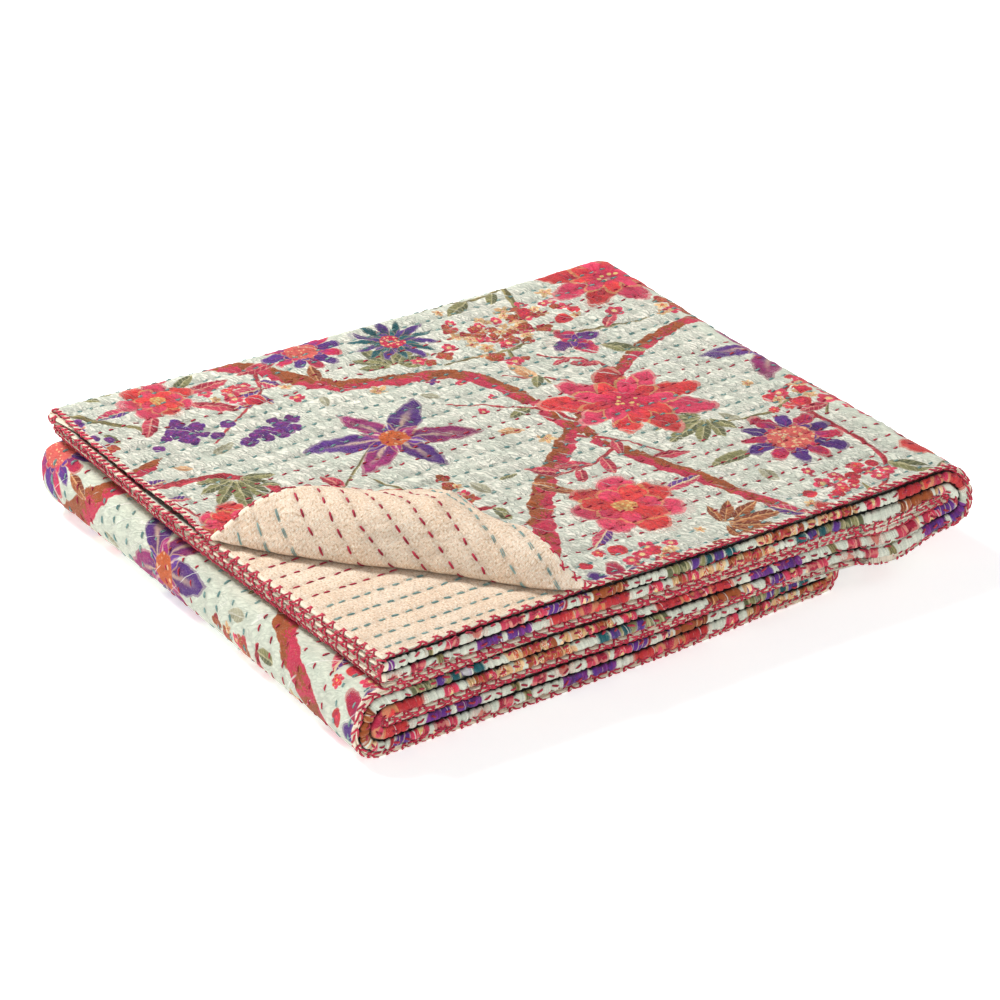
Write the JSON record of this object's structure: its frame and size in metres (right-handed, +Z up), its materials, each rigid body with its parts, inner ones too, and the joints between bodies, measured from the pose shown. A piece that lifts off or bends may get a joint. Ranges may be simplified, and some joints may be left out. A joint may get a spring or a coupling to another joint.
{
  "type": "kantha quilt",
  "caption": "Cotton quilt folded into a flat stack, printed side out, with its top front corner turned back over to show the plain backing.",
  "frame": {"origin": "on the surface it lies on, under the middle of the folded stack's box", "axes": "+X along the stack's long side, from the strip's ends to its far turns; +Y from the sewn edges at the front to the turns at the back; +Z up"},
  "size_m": [0.442, 0.3682, 0.098],
  "materials": {
    "printed_cotton": "matt printed cotton",
    "backing_cotton": "matt undyed canvas weave"
  },
  "bodies": {
    "root": {"printed_face": "printed_cotton", "plain_backing": "backing_cotton"}
  },
  "joints": []
}
